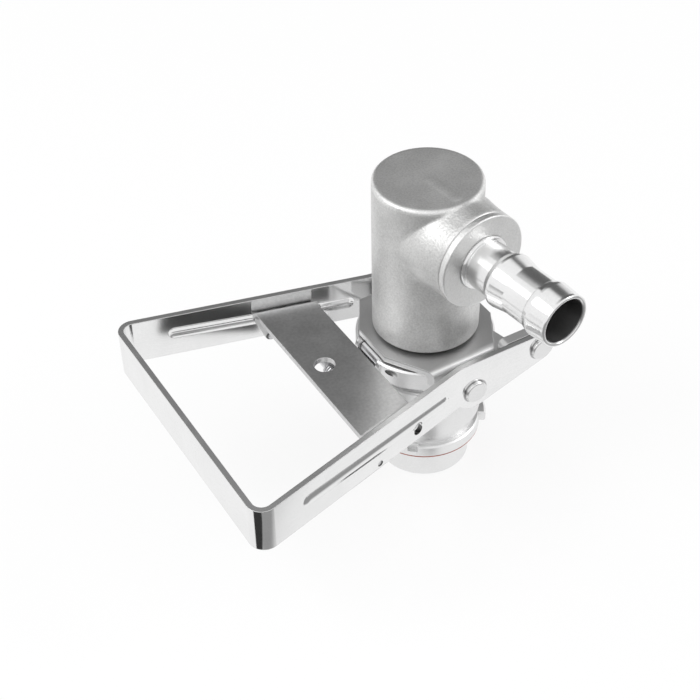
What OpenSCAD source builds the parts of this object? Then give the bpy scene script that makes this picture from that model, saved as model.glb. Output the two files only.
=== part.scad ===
// Coupler that opens the extractor valve of a diesel exhaust fluid container.
// The lower end locks into the valve, the long handle drives the probe down
// into it, and the fluid leaves through the hose tail on the swivelling head.
// +Z is up along the probe, the handle reaches out along -X, and the origin is
// on the probe's axis at the lower end of the spigot.

/* [Spigot and bayonet] */
// Diameter of the spigot that enters the valve
spigot_d = 42.8; // [41:0.2:44]
// Length of the spigot below the face seal
spigot_h = 16.5; // [14:0.5:20]
// Thickness of the face seal
seal_t = 1.2; // [1:0.1:2]
// Outer diameter of the face seal
seal_d = 51; // [50:0.2:52]
// Diameter of the relief in which the face seal sits
seal_neck_d = 42; // [41:0.2:42]
// Height of that relief below the face seal
seal_relief_h = 0.6; // [0.4:0.1:1]
// Diameter of the bayonet flange
flange_d = 52.8; // [51:0.2:54]
// Height of the bayonet flange
flange_h = 5.7; // [5:0.1:7]
// Diameter across the bayonet lugs
lug_d = 58.6; // [57:0.2:60]
// Height of the lugs' underside above the flange's underside
lug_lift = 0.4; // [0.2:0.1:1]
// Angle that one bayonet lug covers
lug_arc = 55; // [40:1:70]
// Direction in which the first lug begins
lug_start = -37; // [-60:1:-10]
// Height of the groove above the flange
groove_h = 5.8; // [5:0.1:8]
// Diameter at the bottom of that groove
groove_d = 47.4; // [46:0.2:49]
// Diameter of the bore in which the probe's piston slides
bore_d = 35; // [34.6:0.1:35.4]
// Depth and half width of the key notches in the flange
notch_depth = 2.2; // [1.6:0.1:2.4]
notch_half_w = 2.4; // [2:0.1:3]
// Height of the notches' floor above the flange's underside
notch_floor = 2.4; // [1.6:0.1:3]

/* [Barrel and drum] */
// Diameter of the barrel
barrel_d = 52.4; // [51.6:0.2:53.6]
// Height of the barrel above the groove
barrel_h = 27.3; // [26:0.1:30]
// Diameter of the neck under the drum
neck_d = 48; // [46:0.2:50]
// Height of the neck under the drum
neck_h = 7.1; // [5:0.1:9]
// Diameter of the drum under the yoke
drum_d = 63; // [62:0.2:64]
// Height of the drum
drum_h = 10; // [9:0.1:11]
// Chamfer on the drum's edges
drum_chamfer = 0.8; // [0.4:0.1:1.2]
// Height of the bore that the guide bush fills
bush_h = 18.6; // [16:0.1:20]
// Outer diameter of the guide bush
bush_d = 40; // [39:0.2:41]
// Diameter of the recess for the retaining nut
nut_pocket_d = 45; // [44:0.2:46]
// Depth of that recess below the drum's top
nut_pocket_h = 6.6; // [6:0.1:7]
// Thickness of the fulcrum lugs behind the drum
lug_t = 4.6; // [4:0.1:5]

/* [Yoke] */
// Gap between the drum and the yoke with the handle down
yoke_gap = 0.9; // [0.6:0.1:1.5]
// Thickness of the yoke's sheet
yoke_t = 3; // [2.5:0.1:3.5]
// Length of the yoke along the handle
yoke_len = 56.4; // [55:0.2:58]
// Width of the yoke over its flanges
yoke_w = 63; // [62.6:0.1:63.4]
// Length of the yoke's bent side edges
yoke_side = 31.4; // [30:0.2:31.8]
// Width of the yoke's front and rear edges
yoke_nose = 21.5; // [18:0.5:24]
// Outer radius of the yoke's bends
yoke_bend = 4; // [3.6:0.1:5]
// Radius of the flange round the drive pin
flange_ear_r = 8.5; // [7.5:0.1:9]
// Outer diameter of the swivel bush in the yoke
swivel_bush_d = 33; // [32.4:0.2:35]

/* [Lever pins] */
// Distance of the drive pins behind the probe's axis
drive_x = 1.4; // [0:0.1:2]
// Diameter of the drive pins and the fulcrum pins
pin_d = 8; // [7:0.1:8.5]
// Diameter of the pins' heads
pin_head_d = 10.8; // [10:0.1:11.4]
// Thickness of the pins' heads
pin_head_t = 1.8; // [1.4:0.1:3]
// Thickness of the spacers between the yoke and the arms
spacer_t = 4.1; // [3.9:0.1:4.7]
// Wall of those spacers
spacer_wall = 3; // [2:0.1:3.4]
// Depth of the drive pins below the yoke's top
drive_drop = 13; // [12:0.1:14]
// Distance along the arms from the drive pins to the fulcrum pins
lever_reach = 35; // [34:0.2:37]
// Height of the fulcrum pins above the drive pins
lever_rise = 9; // [8:0.1:10]
// Angle through which the handle lifts
lift_angle = 27; // [20:1:28]

/* [Handle] */
// Thickness of the handle's strap
strap_t = 2.5; // [2:0.1:3]
// Height of the handle's strap
strap_h = 22.4; // [21:0.1:24]
// Height of the strap's top edge above the drive pins
strap_over_pin = 16.5; // [16:0.1:18]
// Distance from the probe's axis to the bail's outer face
handle_reach = 123; // [118:1:135]
// Width of the handle across the outer faces at the bail
bail_w = 138.3; // [130:0.5:150]
// Distance from the probe's axis forward to the bend in the arms
arm_bend_x = 5.5; // [4:0.5:7]
// Radius of the bend in the arms, at the outer face
arm_bend_r = 20; // [16:1:30]
// Outer radius of the corners at the bail
corner_r = 7; // [5:0.5:12]
// Radius of the arm round the drive pin
arm_ear_r = 9.8; // [8.5:0.1:10.5]
// Height that the pressed rib stands proud of the arm
rib_proud = 0.9; // [0.5:0.1:1.2]
// Width of the pressed rib
rib_w = 6.2; // [5:0.1:7]
// Distance from the probe's axis to the rib's front and rear ends
rib_far = 96; // [90:1:105]
rib_near = 17; // [15:1:24]
// Height of the rib's front and rear ends above the strap's lower edge
rib_far_z = 12.4; // [11:0.1:13]
rib_near_z = 10; // [9.6:0.1:11]

/* [Latch] */
// Thickness of the latch plate's sheet
latch_t = 2.5; // [2:0.1:3]
// Distance from the probe's axis to the latch plate's front and rear edges
latch_front = 62; // [61:0.5:64]
latch_rear = 34.4; // [33.8:0.1:36]
// Depth of the latch plate below the strap's top edge
latch_drop = 4.9; // [4:0.1:5.6]
// Outer radius of the latch plate's bends
latch_bend = 3.6; // [3.2:0.1:4.4]
// Gap between the latch plate's ears and the arms
latch_side_gap = 0.9; // [0.8:0.1:1.2]
// Distance from the probe's axis to the latch pivot
latch_pivot_x = 55.6; // [54:0.1:57]
// Height of the latch pivot above the strap's lower edge
latch_pivot_z = 2.3; // [2:0.1:2.8]
// Diameter of the latch pivot pins
latch_pin_d = 2.6; // [2.2:0.1:3]
// Radius of the latch plate's ears round the latch pivot
latch_lobe_r = 2.2; // [2:0.1:2.3]
// Distance from the probe's axis to the guide pins
guide_x = 33.5; // [33:0.1:34]
// Height of the guide pins above the strap's lower edge
guide_z = 8.4; // [8:0.1:9]
// Diameter of the guide pins
guide_pin_d = 3.6; // [3:0.1:4]
// Angle through which the latch plate can be pressed down
press_angle = 8; // [5:1:8]
// Diameter of the hole in the latch plate
latch_hole_d = 9.4; // [8:0.1:11]
// Distance from the probe's axis to that hole
latch_hole_x = 52.5; // [50:0.5:54]
// Width of the tongue under the latch plate's rear edge
tongue_w = 10; // [8:0.5:12]
// Diameter of the rod under the latch plate
latch_rod_d = 4; // [3.4:0.1:4.4]
// Distance from the probe's axis to that rod
latch_rod_x = 46; // [45:0.5:47]
// Height of that rod above the strap's lower edge
latch_rod_z = 6.8; // [6.4:0.1:7.2]
// Wire of the latch spring
spring_wire = 1.2; // [1:0.1:1.4]
// Turns of the spring
spring_turns = 9; // [6:1:12]
// Length of the spring's leg under the latch plate
spring_leg = 7; // [5:0.5:9]
// Length of the spring's free leg
spring_tail = 6; // [4:0.5:7]

/* [Catch] */
// Distance from the axis to the catch pin
catch_x = 27.4; // [27.2:0.1:28]
// Depth of the catch pin below the drum's top
catch_drop = 3; // [2.8:0.1:3.4]
// Diameter of the catch pin
catch_pin_d = 3.2; // [2.6:0.1:3.4]
// Diameter of the catch sleeve
catch_sleeve_d = 5; // [4.6:0.1:5.2]
// Width of the notch in the drum for the catch
catch_w = 14.8; // [14:0.2:17]
// Thickness of the ears at the notch
catch_ear_t = 2.5; // [2:0.1:3]

/* [Head] */
// Diameter of the head
head_d = 48; // [46:0.5:50]
// Height of the head
head_h = 76.6; // [76:0.2:84]
// Radius of the head's upper edge
head_edge = 1.6; // [1:0.1:2.4]
// Diameter of the head's inner chamber
chamber_d = 30; // [29.6:0.2:34]
// Thickness of the head's roof
roof_t = 7.8; // [6:0.2:10]
// Height of the hose tail's axis above the head's foot
outlet_z = 54.4; // [52:0.2:55]
// Angle by which the hose tail points away from square to the handle
head_turn = 6.7; // [0:0.1:12]
// Diameter of the side boss
boss_d = 43; // [41:0.2:43.6]
// Distance from the axis to the outer face of the hose tail's flange
boss_reach = 36; // [34:0.2:38]
// Thickness of the hose tail's flange
tail_flange_t = 3.2; // [2.6:0.1:4]
// Height of the flare where the boss meets the head
boss_flare = 0.9; // [0.4:0.1:0.9]
// Length of that flare
boss_flare_len = 12; // [8:0.5:14]
// Chamfer at the seam between the boss and the flange
seam = 0.35; // [0.2:0.05:0.5]
// Length of the hose tail's pilot inside the boss
pilot_len = 9; // [7:0.5:10]
// Wall of that pilot
pilot_wall = 2.3; // [2:0.1:2.6]
// Section diameter of the gasket behind the flange
gasket_wire = 2; // [1.6:0.1:2.2]

/* [Hose tail] */
// Bore of the hose tail
tail_bore_d = 19.8; // [18:0.2:20]
// Diameter of the bead at the hose tail's root
bead_d = 24.8; // [24.6:0.1:26]
// Length of that bead
bead_len = 1.4; // [1:0.1:2]
// Diameter of the shank between the bead and the first barb
shank_d = 21.6; // [21.2:0.2:22.4]
// Length of the hose tail beyond its flange
tail_len = 48.6; // [46:0.2:54]
// Diameter over the barbs
barb_d = 24.8; // [24:0.2:26]
// Diameter behind each barb's taper
barb_root_d = 22.2; // [21.8:0.1:22.6]
// Distance from the tail's end to the front of each barb
barb_back = [36, 12.8]; // [9:0.2:38]
// Height of the step at the front of a barb
barb_step = 0.7; // [0.4:0.1:1]
// Length over which a barb rises
barb_rise = 2.6; // [2:0.1:3]
// Length of the cylindrical land on a barb
barb_land = 1.2; // [1:0.1:2]
// Length of the taper behind that land
barb_taper = 7.4; // [5:0.2:8]
// Diameter of the hose tail at its end
tail_end_d = 23.6; // [22.8:0.2:24]

/* [Probe] */
// Outer diameter of the probe tube
probe_d = 29; // [28.8:0.1:29.2]
// Wall of the probe tube
probe_wall = 3; // [2.4:0.1:3.2]
// Height of the probe's lower end above the spigot's end
probe_end_z = 4; // [3.6:0.1:5]
// Height of the piston at the probe's lower end
piston_h = 18; // [16:0.5:19]
// Length of the probe inside the head
probe_in_head = 16; // [15:0.5:17]
// Thickness of the dark thrust washer under the head
washer_t = 1.4; // [1:0.1:2]
// Diameter of that washer
washer_d = 44.6; // [42:0.2:45.6]
// Diameter of the retaining nut
nut_d = 40; // [39:0.2:41]
// Height of the retaining nut
nut_h = 5.2; // [5:0.1:5.4]
// Section diameter of the piston's seal ring
piston_ring_d = 2.9; // [2.7:0.1:2.9]
// Section diameter of the seal ring between the probe and the head
neck_ring_wire = 1.6; // [1.4:0.1:1.8]
// Section diameter of the seal ring in the guide bush
guide_ring_wire = 2.4; // [2:0.1:2.4]

/* [Clearances] */
// Radial clearance of a piece that turns or slides on another
run_gap = 0.06; // [0.03:0.01:0.08]
// Radial clearance of a piece that is fixed in another
fixed_gap = 0.02; // [0.01:0.01:0.04]
// Gap between faces that move past each other
face_gap = 0.3; // [0.2:0.05:0.35]
// Gap between the lever's side faces
side_gap = 0.4; // [0.3:0.05:0.45]

/* [Hidden] */
$fn = 96;
tiny = 0.01;
big = 200;

// Levels along the axis, from the spigot's end upward
flange_z = spigot_h + seal_t;
groove_z = flange_z + flange_h;
barrel_z = groove_z + groove_h;
neck_z = barrel_z + barrel_h;
drum_z = neck_z + neck_h;
drum_top = drum_z + drum_h;
yoke_z = drum_top + yoke_gap;
yoke_top = yoke_z + yoke_t;
head_z = yoke_top + face_gap + washer_t;
head_top = head_z + head_h;
outlet_axis = head_z + outlet_z;
pocket_z = drum_top - nut_pocket_h;
bush_z = pocket_z - bush_h;

// Lever geometry
drive_z = yoke_top - drive_drop;
drive_at = [drive_x, drive_z];
fulcrum_x = drive_x + lever_reach;
fulcrum_z = drive_z + lever_rise;
fulcrum_at = [fulcrum_x, fulcrum_z];
lever_r = norm([lever_reach, lever_rise]);
slot_run = lever_r - lever_reach;
strap_top = drive_z + strap_over_pin;
strap_z = strap_top - strap_h;
end_r = strap_top - fulcrum_z;
yoke_y = yoke_w / 2;
arm_in = yoke_y + face_gap + spacer_t;
arm_y = arm_in + strap_t;
lug_y = arm_in - side_gap;
drum_flat = yoke_y - yoke_t - side_gap;

// Plan of the handle's arms
splay = atan2(bail_w / 2 - arm_y, handle_reach - arm_bend_x);
function arm_out(x) = arm_y + (x - arm_bend_x) * tan(splay);

// Latch levels and places
latch_top = strap_top - latch_drop;
latch_pivot = [-latch_pivot_x, strap_z + latch_pivot_z];
guide_pin = [-guide_x, strap_z + guide_z];
latch_rod_at = [-latch_rod_x, strap_z + latch_rod_z];
latch_rod_up = pressed(latch_rod_at, latch_pivot, -press_angle);
ear_depth = strap_t + latch_side_gap;
catch_at = [-catch_x, drum_top - catch_drop];

// Points of an arc round c
function arc(c, r, a0, a1, n = 8) =
    [for (i = [0:n]) let (a = a0 + (a1 - a0) * i / n) [c[0] + r * cos(a), c[1] + r * sin(a)]];

// A plane turned by an angle about a centre in the side view, rear side down
function pressed(p, c, a) =
    [c[0] + (p[0] - c[0]) * cos(a) + (p[1] - c[1]) * sin(a),
     c[1] - (p[0] - c[0]) * sin(a) + (p[1] - c[1]) * cos(a)];

// The same piece on both sides of the X axis
module both_sides() {
    children();
    mirror([0, 1, 0]) children();
}

// A ring or tube standing on z0
module tube(d_out, d_in, z0, h) {
    translate([0, 0, z0]) difference() {
        cylinder(d = d_out, h = h);
        translate([0, 0, -1]) cylinder(d = d_in, h = h + 2);
    }
}

// A round ring of wire or rubber
module round_ring(r_mid, d_wire, z0) {
    translate([0, 0, z0]) rotate_extrude() translate([r_mid, 0]) circle(d = d_wire, $fn = 32);
}

// A cylinder along Y between two stations, at a place given in the side view
module rod_y(at, d, y0, y1) {
    translate([at[0], y0, at[1]]) rotate([-90, 0, 0]) cylinder(d = d, h = y1 - y0);
}

// A turned shape along Y whose profile is given as radius and distance
module turned_y(at, y0, profile) {
    translate([at[0], y0, at[1]]) rotate([-90, 0, 0]) rotate_extrude() polygon(profile);
}

// A side view extruded across the coupler
module side_prism(y0 = -big, y1 = big) {
    translate([0, y1, 0]) rotate([90, 0, 0]) linear_extrude(y1 - y0) children();
}

// Two circles joined by their outer tangents
module belt(a, ra, b, rb) {
    d = norm(b - a);
    dir = atan2(b[1] - a[1], b[0] - a[0]);
    open = acos((ra - rb) / d);
    translate(a) circle(r = ra);
    translate(b) circle(r = rb);
    polygon([
        a + ra * [cos(dir + open), sin(dir + open)],
        a + ra * [cos(dir - open), sin(dir - open)],
        b + rb * [cos(dir - open), sin(dir - open)],
        b + rb * [cos(dir + open), sin(dir + open)],
    ]);
}

// Frame of an arm at a distance forward of the probe's axis: X along the arm to
// the rear, Y out of its outer face
module on_arm(x) {
    translate([-x, arm_out(x), 0]) rotate([0, 0, -splay]) children();
}

// Frame of the hose tail: Z along its axis, from the probe's axis outward
module on_outlet() {
    rotate([0, 0, head_turn]) translate([0, 0, outlet_axis]) rotate([90, 0, 0]) children();
}

// Body that locks into the valve, with the fulcrum lugs at its rear
module coupler_body() {
    color("gainsboro") difference() {
        union() {
            body_turning();
            bayonet_lugs();
            both_sides() fulcrum_lug();
            both_sides() catch_ear();
        }
        body_bore();
        bayonet_notches();
        both_sides() yoke_flat();
        catch_notch();
        rod_y(catch_at, catch_pin_d + 2 * fixed_gap, -big, big);
        both_sides() fulcrum_slot();
    }
}

module body_turning() {
    r_spigot = spigot_d / 2;
    r_flange = flange_d / 2;
    r_drum = drum_d / 2;
    r_neck = seal_neck_d / 2;
    relief = spigot_h - seal_relief_h;
    c = drum_chamfer;
    rotate_extrude() polygon([
        [0, 0], [r_spigot - 1, 0], [r_spigot, 1], [r_spigot, relief], [r_neck, relief],
        [r_neck, flange_z], [r_flange, flange_z],
        [r_flange, groove_z - c], [r_flange - c, groove_z], [groove_d / 2, groove_z],
        [groove_d / 2, barrel_z], [barrel_d / 2 - c, barrel_z], [barrel_d / 2, barrel_z + c],
        [barrel_d / 2, neck_z - c], [barrel_d / 2 - c, neck_z], [neck_d / 2, neck_z],
        [neck_d / 2, drum_z], [r_drum - c, drum_z], [r_drum, drum_z + c],
        [r_drum, drum_top - c], [r_drum - c, drum_top], [0, drum_top],
    ]);
}

module bayonet_lugs() {
    c = drum_chamfer;
    r = lug_d / 2;
    root = flange_d / 2 - 2 * c;
    low = flange_z + lug_lift;
    for (turn = [0, 180]) rotate([0, 0, lug_start + turn]) rotate_extrude(angle = lug_arc) polygon([
        [root, low], [r - c, low], [r, low + c],
        [r, groove_z - c], [r - c, groove_z], [root, groove_z],
    ]);
}

// Notches by which the valve's key finds the coupler
module bayonet_notches() {
    for (turn = [-134, 46]) rotate([0, 0, turn])
        translate([flange_d / 2 - notch_depth, -notch_half_w, flange_z + notch_floor])
            cube([10, 2 * notch_half_w, flange_h + 2]);
}

module body_bore() {
    c = 1;
    rotate_extrude() polygon([
        [0, -1], [bore_d / 2 + c + 1, -1], [bore_d / 2, c], [bore_d / 2, bush_z],
        [bush_d / 2, bush_z], [bush_d / 2, pocket_z], [nut_pocket_d / 2, pocket_z],
        [nut_pocket_d / 2, drum_top + 1], [0, drum_top + 1],
    ]);
}

// Flat on the drum that leaves room for the yoke's flange
module yoke_flat() {
    half = yoke_side / 2 + 2.2;
    translate([-half, drum_flat, drum_z - 1]) cube([2 * half, big, drum_h + 2]);
}

function lug_front() = yoke_side / 2 + 2.2;

// Lug behind the drum that carries a fulcrum pin
module fulcrum_lug() {
    x0 = lug_front();
    foot_x = fulcrum_x - end_r - 1;
    mid = fulcrum_x + slot_run / 2;
    side_prism(lug_y - lug_t, lug_y) {
        translate([mid, fulcrum_z]) circle(r = end_r);
        polygon(concat(
            [[x0, drum_z]],
            arc([x0 + 3, strap_top - 3], 3, 180, 90, 6),
            [[mid, strap_top], [mid, fulcrum_z - end_r], [foot_x, drum_z]]
        ));
    }
    translate([0, 0, drum_z]) linear_extrude(drum_h) polygon([
        [x0, drum_flat - 11], [x0, lug_y], [foot_x, lug_y], [foot_x, lug_y - lug_t],
        [drum_d / 2 - 7, drum_flat - 12],
    ]);
}

// Slot in which the fulcrum pin shifts while the lever swings
module fulcrum_slot() {
    d = pin_d + 2 * face_gap;
    for (x = [fulcrum_x, fulcrum_x + slot_run]) rod_y([x, fulcrum_z], d, lug_y - lug_t - 1, lug_y + 1);
    translate([fulcrum_x, lug_y - lug_t - 1, fulcrum_z - d / 2]) cube([slot_run, lug_t + 2, d]);
}

// Ear beside the notch in the drum's front, for the catch pin
module catch_ear() {
    nose = catch_at - [0.8, 0];
    side_prism(catch_w / 2, catch_w / 2 + catch_ear_t) belt(nose, catch_drop, nose + [8, -1.5], catch_drop);
}

module catch_notch() {
    wall = catch_at[0] + catch_sleeve_d / 2 + face_gap;
    translate([wall - 10, -catch_w / 2, catch_at[1] - 5]) cube([10, catch_w, big]);
}

// Flat seal under the bayonet flange
module face_seal() {
    color("brown") tube(seal_d, seal_neck_d + 2 * fixed_gap, spigot_h, seal_t);
}

// Plastic bush in which the probe slides
module guide_bush() {
    groove_w = guide_ring_wire + 0.4;
    color("dimgray") difference() {
        tube(bush_d - 2 * fixed_gap, probe_d + 2 * run_gap, bush_z, bush_h - face_gap);
        translate([0, 0, guide_ring_z() - groove_w / 2])
            cylinder(d = guide_ring_d() + guide_ring_wire + 2 * fixed_gap, h = groove_w);
    }
}

function guide_ring_d() = probe_d + 2 * run_gap + guide_ring_wire;
function guide_ring_z() = bush_z + 5;

// Seal ring inside the guide bush
module guide_seal() {
    color("black") round_ring(guide_ring_d() / 2, guide_ring_wire, guide_ring_z());
}

// Pin across the notch in the drum
module catch_pin() {
    reach = catch_w / 2 + catch_ear_t;
    color("silver") rod_y(catch_at, catch_pin_d, -reach, reach);
}

// Sleeve on the catch pin, under the latch tongue
module catch_sleeve() {
    reach = catch_w / 2 - face_gap;
    color("gainsboro") difference() {
        rod_y(catch_at, catch_sleeve_d, -reach, reach);
        rod_y(catch_at, catch_pin_d + 2 * fixed_gap, -reach - 1, reach + 1);
    }
}

// Eight-sided sheet yoke with its two sides bent down to the drive pins
module yoke_plate() {
    color("gray") difference() {
        intersection() {
            yoke_fold();
            translate([0, 0, drive_z - flange_ear_r - 1]) linear_extrude(big) yoke_outline();
            side_prism() yoke_side_view();
        }
        translate([0, 0, yoke_z - 1]) cylinder(d = swivel_bush_d + 2 * fixed_gap, h = yoke_t + 2);
        rod_y(drive_at, pin_d + 2 * run_gap, -big, big);
    }
}

module yoke_outline() {
    x = yoke_len / 2;
    side = yoke_side / 2;
    nose = yoke_nose / 2;
    polygon([
        [x, -nose], [x, nose], [side, yoke_y], [-side, yoke_y],
        [-x, nose], [-x, -nose], [-side, -yoke_y], [side, -yoke_y],
    ]);
}

// The folded sheet, seen along the handle
module yoke_fold() {
    low = drive_z - flange_ear_r - 1;
    rotate([90, 0, 90]) linear_extrude(yoke_len + 2, center = true) difference() {
        polygon(concat(
            [[-yoke_y, low]],
            arc([-yoke_y + yoke_bend, yoke_top - yoke_bend], yoke_bend, 180, 90),
            arc([yoke_y - yoke_bend, yoke_top - yoke_bend], yoke_bend, 90, 0),
            [[yoke_y, low]]
        ));
        polygon(concat(
            [[-yoke_y + yoke_t, low - 1]],
            arc([-yoke_y + yoke_bend, yoke_top - yoke_bend], yoke_bend - yoke_t, 180, 90),
            arc([yoke_y - yoke_bend, yoke_top - yoke_bend], yoke_bend - yoke_t, 90, 0),
            [[yoke_y - yoke_t, low - 1]]
        ));
    }
}

// The yoke from the side: flanges that narrow to a round ear at the drive pin
module yoke_side_view() {
    x = yoke_len / 2;
    half = yoke_side / 2 + 2;
    shoulder = yoke_z - 4;
    open = 28;
    translate(drive_at) circle(r = flange_ear_r);
    polygon([
        [-x, yoke_z - 1], [-half, yoke_z - 1], [-half, shoulder],
        flange_ear_r * [-cos(open), -sin(open)] + drive_at,
        flange_ear_r * [cos(open), -sin(open)] + drive_at,
        [half, shoulder], [half, yoke_z - 1], [x, yoke_z - 1], [x, yoke_top], [-x, yoke_top],
    ]);
}

// Plastic bush in which the head swivels
module swivel_bush() {
    color("black") tube(swivel_bush_d, probe_d + 2 * run_gap, yoke_z, yoke_t);
}

// Head with its side boss, hollow for the flow
module head_casting() {
    r = head_d / 2;
    e = head_edge;
    foot = 0.6;
    color("darkgray") difference() {
        union() {
            translate([0, 0, head_z]) rotate_extrude() polygon(concat(
                [[0, 0], [r - foot, 0], [r, foot]],
                arc([r - e, head_h - e], e, 0, 90),
                [[0, head_h]]
            ));
            on_outlet() boss();
        }
        translate([0, 0, head_z - 1]) cylinder(d = probe_d + 2 * fixed_gap, h = probe_in_head + 2);
        translate([0, 0, head_z + probe_in_head])
            cylinder(d = chamber_d, h = head_h - roof_t - probe_in_head);
        on_outlet() cylinder(d = pilot_d() + 2 * fixed_gap, h = boss_reach);
        on_outlet() tube(gasket_d() + gasket_wire + 0.3, gasket_d() - gasket_wire - 0.3,
            boss_reach - tail_flange_t - gasket_groove(), 5);
        translate([0, 0, neck_ring_z() - neck_ring_wire / 2 - 0.2])
            cylinder(d = probe_d + 4 * fixed_gap + 2 * neck_ring_wire, h = neck_ring_wire + 0.4);
    }
}

function pilot_d() = tail_bore_d + 2 * pilot_wall;
function gasket_d() = pilot_d() + 6;
function gasket_groove() = gasket_wire + 0.1;
function neck_ring_z() = head_z + 6;

// Side boss with a flared root and a small seam chamfer at its face
module boss() {
    r = boss_d / 2;
    face = boss_reach - tail_flange_t;
    flare_len = boss_flare_len;
    flare_r = (flare_len * flare_len + boss_flare * boss_flare) / (2 * boss_flare);
    sweep = asin(flare_len / flare_r);
    rotate_extrude() polygon(concat(
        [[0, 0], [r + boss_flare, 0], [r + boss_flare, face - 2 - flare_len]],
        [for (i = [1:6]) let (a = sweep * (1 - i / 6))
            [r + flare_r - flare_r * cos(a), face - 2 - flare_r * sin(a)]],
        [[r, face - seam], [r - seam, face], [0, face]]
    ));
}

// Cast flange that closes the boss round the hose tail
module tail_flange() {
    face = boss_reach - tail_flange_t;
    r = boss_d / 2;
    r_in = pilot_d() / 2 + fixed_gap;
    color("darkgray") on_outlet() rotate_extrude() polygon([
        [r_in, face], [r - seam, face], [r, face + seam],
        [r, boss_reach - seam], [r - seam, boss_reach], [r_in, boss_reach],
    ]);
}

// Hose tail with its pilot in the boss, a bead at its root and two barbs
module hose_tail() {
    end = boss_reach + tail_len;
    pilot = boss_reach - tail_flange_t - pilot_len;
    r_bore = tail_bore_d / 2;
    r_end = tail_end_d / 2;
    r_bead = bead_d / 2;
    color("whitesmoke") on_outlet() rotate_extrude() polygon(concat(
        [[r_bore, pilot], [pilot_d() / 2, pilot], [pilot_d() / 2, boss_reach]],
        [[r_bead - 0.4, boss_reach], [r_bead, boss_reach + 0.4]],
        [[r_bead, boss_reach + bead_len / 2], [r_bead - 0.5, boss_reach + bead_len]],
        [[shank_d / 2, boss_reach + bead_len]],
        barb(end - barb_back[0], shank_d / 2, barb_root_d / 2),
        barb(end - barb_back[1], barb_root_d / 2, r_end),
        [[r_end, end - 0.4], [r_end - 0.4, end], [r_bore + 0.6, end], [r_bore, end - 0.6]]
    ));
}

// Profile of one barb that begins at a distance from the probe's axis
function barb(at, r_before, r_after) =
    let (r = barb_d / 2, top = at + barb_rise)
    [[r_before, at], [r_before + barb_step, at + 0.5], [r, top],
     [r, top + barb_land], [r_after, top + barb_land + barb_taper]];

// Seal ring between the hose tail and the boss
module tail_gasket() {
    color("black") on_outlet()
        round_ring(gasket_d() / 2, gasket_wire, boss_reach - tail_flange_t - gasket_groove() / 2);
}

// Dark washer on which the head turns
module thrust_washer() {
    color("black") tube(washer_d, probe_d + 2 * fixed_gap, head_z - washer_t, washer_t);
}

// Slotted ring nut that holds the head down on the yoke
module retaining_nut() {
    top = yoke_z - face_gap;
    slot_w = 4;
    color("silver") difference() {
        tube(nut_d, probe_d + 2 * fixed_gap, top - nut_h, nut_h);
        for (turn = [0:90:270]) rotate([0, 0, turn])
            translate([nut_d / 2 - 2.5, -slot_w / 2, top - nut_h - 1]) cube([5, slot_w, nut_h + 2]);
    }
}

// Probe tube with its piston
module probe_tube() {
    top = head_z + probe_in_head;
    r = probe_d / 2;
    r_piston = bore_d / 2 - face_gap;
    r_bore = r - probe_wall;
    groove = piston_ring_d + 0.3;
    g = piston_ring_z() - groove / 2;
    color("silver") difference() {
        rotate_extrude() polygon([
            [r_bore, probe_end_z], [r_piston - 0.8, probe_end_z], [r_piston, probe_end_z + 0.8],
            [r_piston, g], [ring_floor(), g], [ring_floor(), g + groove], [r_piston, g + groove],
            [r_piston, probe_end_z + piston_h - 1.5], [r_piston - 1.5, probe_end_z + piston_h],
            [r, probe_end_z + piston_h], [r, top - 0.8], [r - 0.8, top], [r_bore, top],
        ]);
        tube(2 * nose_r_out() + 0.1, 2 * nose_r_in() - 0.1, probe_end_z - 1, 1 + nose_depth());
    }
}

function ring_floor() = bore_d / 2 - run_gap - piston_ring_d - 0.02;
function piston_ring_z() = probe_end_z + 8.5;
function nose_r_in() = probe_d / 2 - probe_wall + 1.4;
function nose_r_out() = nose_r_in() + 3;
function nose_depth() = 2;

// Seal ring between the probe tube and the head
module neck_ring() {
    r = probe_d / 2 + fixed_gap + neck_ring_wire / 2;
    color("black") round_ring(r, neck_ring_wire, neck_ring_z());
}

// Seal ring on the probe's piston
module piston_ring() {
    color("black") round_ring(bore_d / 2 - run_gap - piston_ring_d / 2, piston_ring_d, piston_ring_z());
}

// Rubber ring that presses on the valve
module nose_seal() {
    proud = 1.2;
    color("black") translate([0, 0, probe_end_z - proud]) rotate_extrude() polygon([
        [nose_r_in(), 0.4], [nose_r_in() + 0.4, 0], [nose_r_out() - 0.4, 0], [nose_r_out(), 0.4],
        [nose_r_out(), proud + nose_depth() - 0.05], [nose_r_in(), proud + nose_depth() - 0.05],
    ]);
}

// Handle bent from one strap, with a pressed rib in each arm
module handle() {
    color("whitesmoke") difference() {
        union() {
            intersection() {
                strap_plan();
                side_prism() strap_side_view();
            }
            both_sides() rib(0);
        }
        both_sides() intersection() {
            rib(-strap_t);
            on_arm(rib_far + 10) translate([0, -strap_t - 2, strap_z - 2]) cube([big, strap_t + 1.5, strap_h + 4]);
        }
        both_sides() rod_y(drive_at, pin_head_d + 1, arm_y, arm_y + 10);
        rod_y(drive_at, pin_d + 2 * fixed_gap, -big, big);
        rod_y(fulcrum_at, pin_d + 2 * fixed_gap, -big, big);
        rod_y(latch_pivot, latch_pin_d + 2 * fixed_gap, -big, big);
        guide_slot();
    }
}

// The strap in plan: bail, round corners, splayed arms, bends, straight ends
module strap_plan() {
    rear = fulcrum_x + 2 * end_r;
    translate([0, 0, strap_z - 10]) linear_extrude(strap_h + 20) difference() {
        handle_plan(0, rear);
        handle_plan(strap_t, rear + 1);
    }
}

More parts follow.
